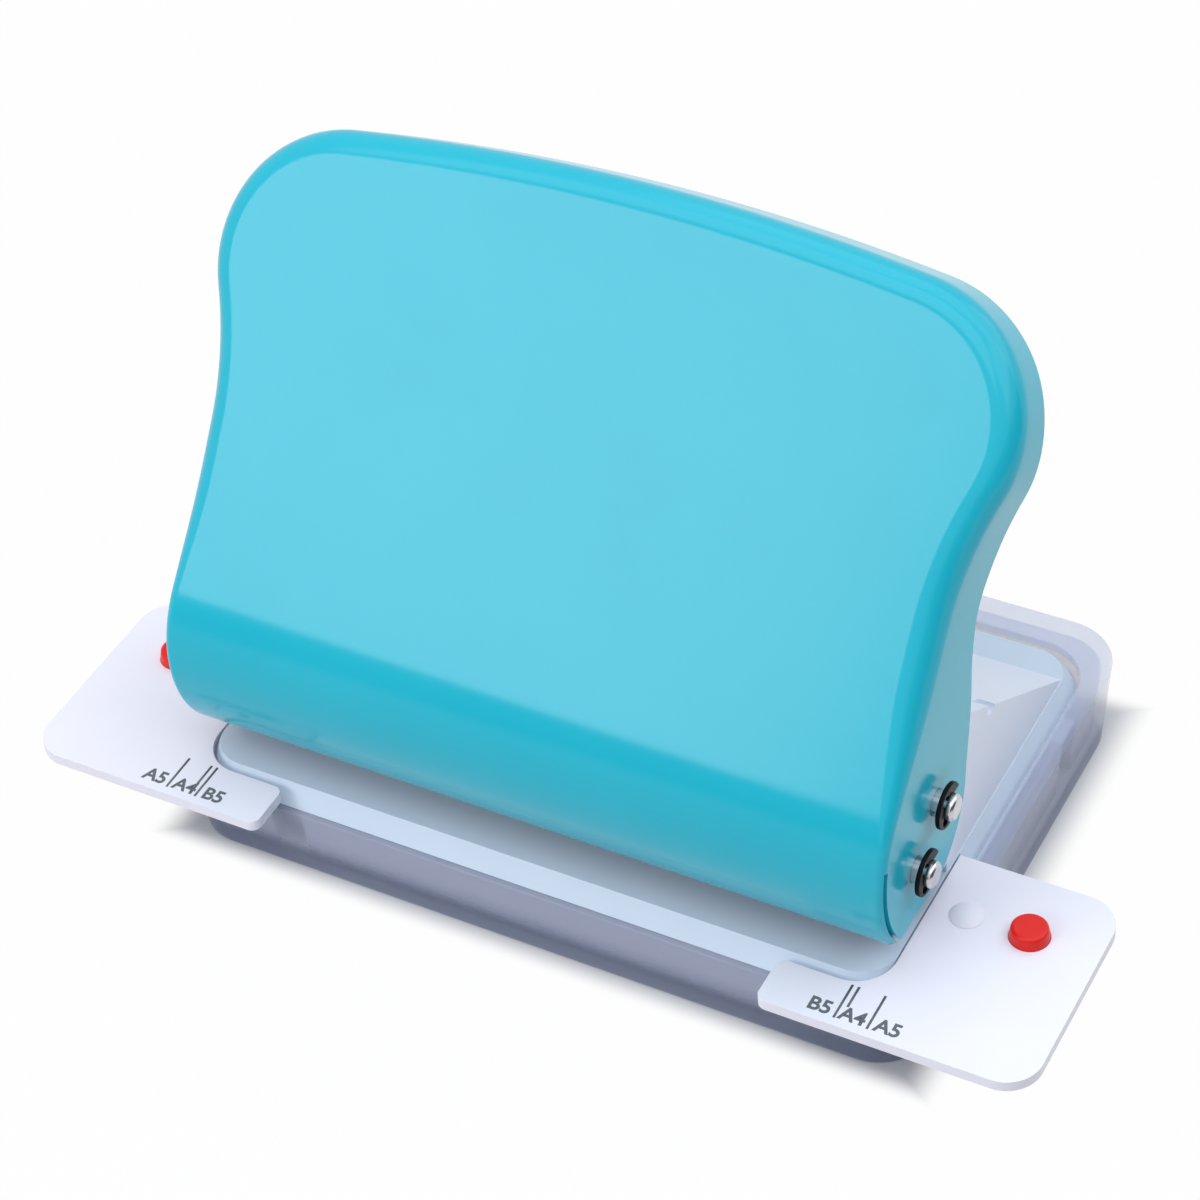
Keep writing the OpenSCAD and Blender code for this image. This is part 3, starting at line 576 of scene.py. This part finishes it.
def add_tube(bm, points, radius):
    """A closed round tube along points."""
    rings = []
    last = len(points) - 1
    for i, point in enumerate(points):
        way = (points[min(i + 1, last)] - points[max(i - 1, 0)]).normalized()
        out = Vector((point.x, point.y, 0.0)).normalized()
        side = way.cross(out).normalized()
        out = side.cross(way)
        ring = []
        for k in range(WIRE_SIDES):
            angle = 2 * math.pi * k / WIRE_SIDES
            ring.append(bm.verts.new(point + radius * (math.cos(angle) * out + math.sin(angle) * side)))
        rings.append(ring)
    for a, b in zip(rings, rings[1:]):
        for k in range(WIRE_SIDES):
            after = (k + 1) % WIRE_SIDES
            bm.faces.new((a[k], a[after], b[after], b[k]))
    bm.faces.new(list(reversed(rings[0])))
    bm.faces.new(rings[-1])
    return [vert for ring in rings for vert in ring]


def springs(name, node, places, size):
    """Round-wire springs that stand for a CAD node, fixed to the base."""
    mean_d, wire, turns = size
    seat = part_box(node)[0].z
    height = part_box(node)[1].z - seat
    bm = bmesh.new()
    for x, y in places:
        verts = add_tube(bm, coil_points(mean_d / 2, wire, height, turns), wire / 2)
        bmesh.ops.translate(bm, verts=verts, vec=Vector((x, y, seat)))
    bmesh.ops.recalc_face_normals(bm, faces=bm.faces)
    piece = add_piece(name, mesh_from(bm, name), "spring_steel")
    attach(piece, "base")
    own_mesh(piece)
    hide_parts(node)


PUNCH_PLACES = [(FIRST_PUNCH + i * PITCH, 0.0) for i in range(PUNCH_COUNT)]
springs("punch_spring_coils", "punch_springs", PUNCH_PLACES, PUNCH_SPRING)
for side, sign in SIDES:
    springs(side + "_pin_coil", side + "_pin_spring", [(sign * PIN_X, 0.0)], PIN_SPRING)


# Printed size marks on the wings
PRINT_LIFT = 0.03 * MM
MARK_W = 0.36 * MM
MARK_LONG = 6.5 * MM
MARK_SHORT = 4.0 * MM
# Marks: distance from the middle, and length
MARKS = {"B5": (52.5 * MM, MARK_LONG), "A4": (53.5 * MM, MARK_SHORT), "A5": (57.5 * MM, MARK_LONG)}
# Labels: distance from the middle
LABELS = {"B5": 49.9 * MM, "A4": 54.9 * MM, "A5": 60.2 * MM}
LABEL_Y = -23.7 * MM
LETTER_SIZE = 3.3 * MM
LETTER_BOLD = 0.085 * MM


def printed_mark(name, x, length):
    """A thin straight line from the deck's edge forwards."""
    bm = bmesh.new()
    bmesh.ops.create_cube(bm, size=1.0)
    bmesh.ops.scale(bm, verts=bm.verts, vec=Vector((MARK_W, length, PRINT_LIFT)))
    middle = Vector((x, DECK_FRONT - length / 2, PAPER_LEVEL + PRINT_LIFT / 2))
    bmesh.ops.translate(bm, verts=bm.verts, vec=middle)
    piece = add_piece(name, mesh_from(bm, name), "print_grey")
    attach(piece, "base")


def printed_label(name, words, x, y):
    """Letters lying flat on a wing, their middle at x and y."""
    curve = bpy.data.curves.new(name, "FONT")
    curve.body = words
    curve.size = LETTER_SIZE
    curve.offset = LETTER_BOLD
    curve.align_x = "CENTER"
    curve.align_y = "CENTER"
    curve.extrude = PRINT_LIFT / 2
    mesh = settle(add_object(name + "_words", curve))
    mesh.transform(Matrix.Translation((x, y, PAPER_LEVEL + PRINT_LIFT / 2)))
    piece = add_piece(name, mesh, "print_grey")
    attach(piece, "base")


for side, sign in SIDES:
    for words, (x, length) in MARKS.items():
        printed_mark("%s_mark_%s" % (side, words), sign * x, length)
    for words, x in LABELS.items():
        printed_label("%s_label_%s" % (side, words), words, sign * x, LABEL_Y)


# Floor, light and camera
MIDDLE = Vector((0.0, 0.005, 0.06))
STAGE_ROUGHNESS = 0.9
FLOOR_SIDE = 6.0
FLOOR_DROP = 0.2 * MM
FLOOR_LOW = (0.60, 0.60, 0.61)
FLOOR_HIGH = (0.62, 0.62, 0.63)
FLOOR_MOTTLE = 3.0
# The floor turns white between these multiples of the tray's half width and depth, to this share
WHITE_START = 0.96
WHITE_END = 1.07
WHITE_SHARE = 0.98
FLAG_MOTTLE = 5.0
FLAG_SPREAD = 1.1
# Strength of the world as light, and as the camera sees it
AMBIENT = 0.35
SEEN_WHITE = 1.0
COOL = (0.93, 0.95, 1.0)
SKY = (0.82, 0.91, 1.0)
# Camera: lens and sensor in millimetres, the rest in metres
SENSOR_WIDTH = 36.0
LENS = 103.0
CLIP_NEAR = 0.01
CLIP_FAR = 20.0
CAMERA_PLACE = Vector((0.1903, -0.3040, 0.3780))
CAMERA_RIGHT = Vector((0.8837, 0.4634, -0.0674))
CAMERA_AHEAD = Vector((-0.3840, 0.6339, -0.6711))


def math_node(tree, operation, *sources):
    """The result of a math node fed by other sockets."""
    node = tree.nodes.new("ShaderNodeMath")
    node.operation = operation
    for i, source in enumerate(sources):
        tree.links.new(source, node.inputs[i])
    return node.outputs["Value"]


def seen_rays(tree):
    """1 for rays from the camera, in gloss or through clear plastic, else 0."""
    rays = tree.nodes.new("ShaderNodeLightPath")
    total = rays.outputs["Is Camera Ray"]
    for kind in ("Is Glossy Ray", "Is Transmission Ray"):
        total = math_node(tree, "MAXIMUM", total, rays.outputs[kind])
    return total


def away_from_part(tree):
    """0 under the tray, rising smoothly to a share of white around it."""
    low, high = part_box("chip_tray")
    place = tree.nodes.new("ShaderNodeTexCoord")
    mapping = tree.nodes.new("ShaderNodeMapping")
    mapping.vector_type = "TEXTURE"
    mapping.inputs["Location"].default_value = ((low.x + high.x) / 2, (low.y + high.y) / 2, 0.0)
    mapping.inputs["Scale"].default_value = ((high.x - low.x) / 2, (high.y - low.y) / 2, 1.0)
    parts = tree.nodes.new("ShaderNodeSeparateXYZ")
    tree.links.new(place.outputs["Object"], mapping.inputs["Vector"])
    tree.links.new(mapping.outputs["Vector"], parts.inputs["Vector"])
    sides = [math_node(tree, "ABSOLUTE", parts.outputs[axis]) for axis in ("X", "Y")]
    fade = tree.nodes.new("ShaderNodeMapRange")
    fade.interpolation_type = "SMOOTHSTEP"
    fade.inputs["From Min"].default_value = WHITE_START
    fade.inputs["From Max"].default_value = WHITE_END
    fade.inputs["To Max"].default_value = WHITE_SHARE
    tree.links.new(math_node(tree, "MAXIMUM", *sides), fade.inputs["Value"])
    return fade.outputs["Result"]


def stage_material():
    """Pale floor, seen as white by the camera and in gloss. Under the part it keeps its shade."""
    material, tree, shader = new_material("floor", Roughness=STAGE_ROUGHNESS)
    add_mottle(tree, shader, FLOOR_LOW, FLOOR_HIGH, FLOOR_MOTTLE)
    glow = tree.nodes.new("ShaderNodeEmission")
    glow.inputs["Strength"].default_value = SEEN_WHITE
    mix = tree.nodes.new("ShaderNodeMixShader")
    share = math_node(tree, "MULTIPLY", seen_rays(tree), away_from_part(tree))
    tree.links.new(share, mix.inputs["Fac"])
    tree.links.new(shader.outputs["BSDF"], mix.inputs[1])
    tree.links.new(glow.outputs["Emission"], mix.inputs[2])
    tree.links.new(mix.outputs["Shader"], tree.nodes["Material Output"].inputs["Surface"])
    return material


def flat_card(name, width, height, material):
    """A flat rectangle around its own origin."""
    x = width / 2
    y = height / 2
    mesh = bpy.data.meshes.new(name)
    mesh.from_pydata([(-x, -y, 0), (x, -y, 0), (x, y, 0), (-x, y, 0)], [], [(0, 1, 2, 3)])
    mesh.materials.append(material)
    return add_object(name, mesh)


def make_floor():
    """The floor, just below the part's underside."""
    floor = flat_card("floor", FLOOR_SIDE, FLOOR_SIDE, stage_material())
    floor.location.z = -FLOOR_DROP


def make_world():
    """White surroundings that light the part less than they show."""
    world = bpy.data.worlds.new("studio")
    world.use_nodes = True
    tree = world.node_tree
    back = tree.nodes["Background"]
    back.inputs["Color"].default_value = (1.0, 1.0, 1.0, 1.0)
    strength = tree.nodes.new("ShaderNodeMix")
    strength.data_type = "FLOAT"
    strength.inputs["A"].default_value = AMBIENT
    strength.inputs["B"].default_value = SEEN_WHITE
    tree.links.new(seen_rays(tree), strength.inputs["Factor"])
    tree.links.new(strength.outputs["Result"], back.inputs["Strength"])
    bpy.context.scene.world = world


def around(turn, rise, distance):
    """A place at a turn to the left of the front, a rise above the middle, and a distance from it."""
    left = math.radians(turn)
    height = math.radians(rise)
    way = Vector((-math.sin(left) * math.cos(height), -math.cos(left) * math.cos(height), math.sin(height)))
    return MIDDLE + distance * way


def face_middle(thing, place, axis):
    """Puts a thing at a place, with one of its own axes towards the middle of the part."""
    thing.rotation_euler = (MIDDLE - place).to_track_quat(axis, "Y").to_euler()
    thing.location = place


def softbox(name, place, size, radiance, colour):
    """An area light that faces the part and shows the given radiance."""
    light = bpy.data.lights.new(name, "AREA")
    light.shape = "RECTANGLE"
    light.size, light.size_y = size
    light.energy = radiance * math.pi * size[0] * size[1]
    light.color = colour
    lamp = add_object(name, light)
    face_middle(lamp, place, "-Z")


def flag(name, place, size, shade):
    """A dark card beside the part that the camera doesn't see, to shape the gloss."""
    material, tree, shader = new_material(name, Roughness=STAGE_ROUGHNESS)
    add_mottle(tree, shader, (shade,) * 3, (shade * FLAG_SPREAD,) * 3, FLAG_MOTTLE)
    card = flat_card(name, *size, material)
    face_middle(card, place, "Z")
    card.visible_camera = False
    card.visible_shadow = False


def make_camera():
    """A camera at the photograph's viewing angle."""
    camera = bpy.data.cameras.new("camera")
    camera.sensor_width = SENSOR_WIDTH
    camera.sensor_fit = "HORIZONTAL"
    camera.lens = LENS
    camera.clip_start = CLIP_NEAR
    camera.clip_end = CLIP_FAR
    ahead = CAMERA_AHEAD.normalized()
    up = CAMERA_RIGHT.normalized().cross(ahead).normalized()
    turn = Matrix((ahead.cross(up), up, -ahead)).transposed().to_4x4()
    holder = add_object("camera", camera)
    holder.matrix_world = Matrix.Translation(CAMERA_PLACE) @ turn
    bpy.context.scene.camera = holder


make_floor()
make_world()
# Soft lights: place, width and height, radiance, colour
softbox("key", around(31.0, 27.0, 0.8), (0.44, 0.34), 5.6, COOL)
softbox("front_top", around(15.0, 70.0, 0.9), (1.0, 0.6), 2.0, COOL)
softbox("right_top", around(-92.0, 48.0, 0.9), (0.8, 0.45), 1.8, SKY)
softbox("overhead", Vector((0.05, 0.35, 0.95)), (0.9, 0.6), 1.3, COOL)
softbox("rear_right", Vector((0.55, 0.65, 0.6)), (0.7, 0.5), 1.5, SKY)
# Dark cards: place, width and height, shade
flag("front_flag", around(24.0, 2.0, 0.5), (0.5, 0.2), 0.2)
flag("right_flag", around(-75.0, 6.0, 0.5), (0.9, 0.28), 0.04)
make_camera()
bpy.context.scene.view_settings.view_transform = "Standard"
